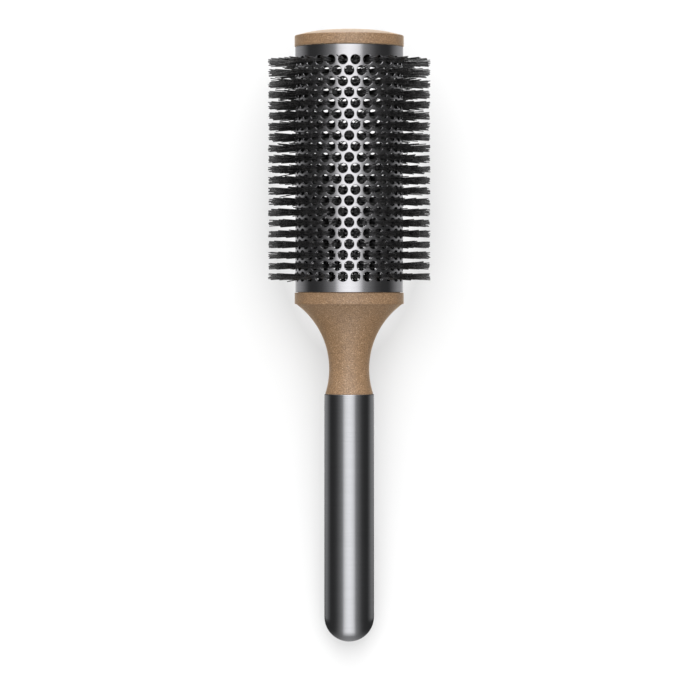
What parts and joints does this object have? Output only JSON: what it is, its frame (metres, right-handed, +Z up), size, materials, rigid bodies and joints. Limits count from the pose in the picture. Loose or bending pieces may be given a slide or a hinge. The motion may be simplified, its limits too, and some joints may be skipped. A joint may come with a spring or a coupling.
{
  "type": "round barrel hair brush",
  "caption": "Round vented barrel brush for blow-drying, with bristle tufts through a perforated metal barrel, a flared neck and a smooth round-ended metal handle.",
  "frame": {"origin": "on the surface that the brush lies on, below the middle of its bounding box", "axes": "+Z up, +Y along the brush from the handle towards the end cap, +X across it; the brush's own axis rises 9.4 degrees towards the end cap, as it does when the brush lies on its handle tip and bristles"},
  "size_m": [0.0678, 0.254, 0.0814],
  "materials": {
    "handle_metal": "dark satin metal, smooth, with soft reflections",
    "speckled_composite": "tan moulded composite with a fine metallic speckle and grain",
    "barrel_aluminium": "satin aluminium sheet, perforated",
    "nylon_bristle": "black nylon filament, slightly glossy",
    "inner_plastic": "plain dark moulded plastic",
    "plain_steel": "plain drawn steel"
  },
  "bodies": {
    "root": {"handle": "handle_metal", "handle_dowel": "inner_plastic", "neck": "speckled_composite", "vented_barrel": "barrel_aluminium", "bristle_disc_01": "nylon_bristle", "bristle_disc_02": "nylon_bristle", "bristle_disc_03": "nylon_bristle", "bristle_disc_04": "nylon_bristle", "bristle_disc_05": "nylon_bristle", "bristle_disc_06": "nylon_bristle", "bristle_disc_07": "nylon_bristle", "bristle_disc_08": "nylon_bristle", "bristle_disc_09": "nylon_bristle", "bristle_disc_10": "nylon_bristle", "bristle_disc_11": "nylon_bristle", "bristle_disc_12": "nylon_bristle", "bristle_disc_13": "nylon_bristle", "bristle_disc_14": "nylon_bristle", "bristle_disc_15": "nylon_bristle", "bristle_disc_16": "nylon_bristle", "bristle_disc_17": "nylon_bristle", "bristle_disc_18": "nylon_bristle", "bristle_disc_19": "nylon_bristle", "bristle_disc_20": "nylon_bristle", "bristle_disc_21": "nylon_bristle", "tie_rod": "plain_steel", "end_cap": "speckled_composite"}
  },
  "joints": []
}
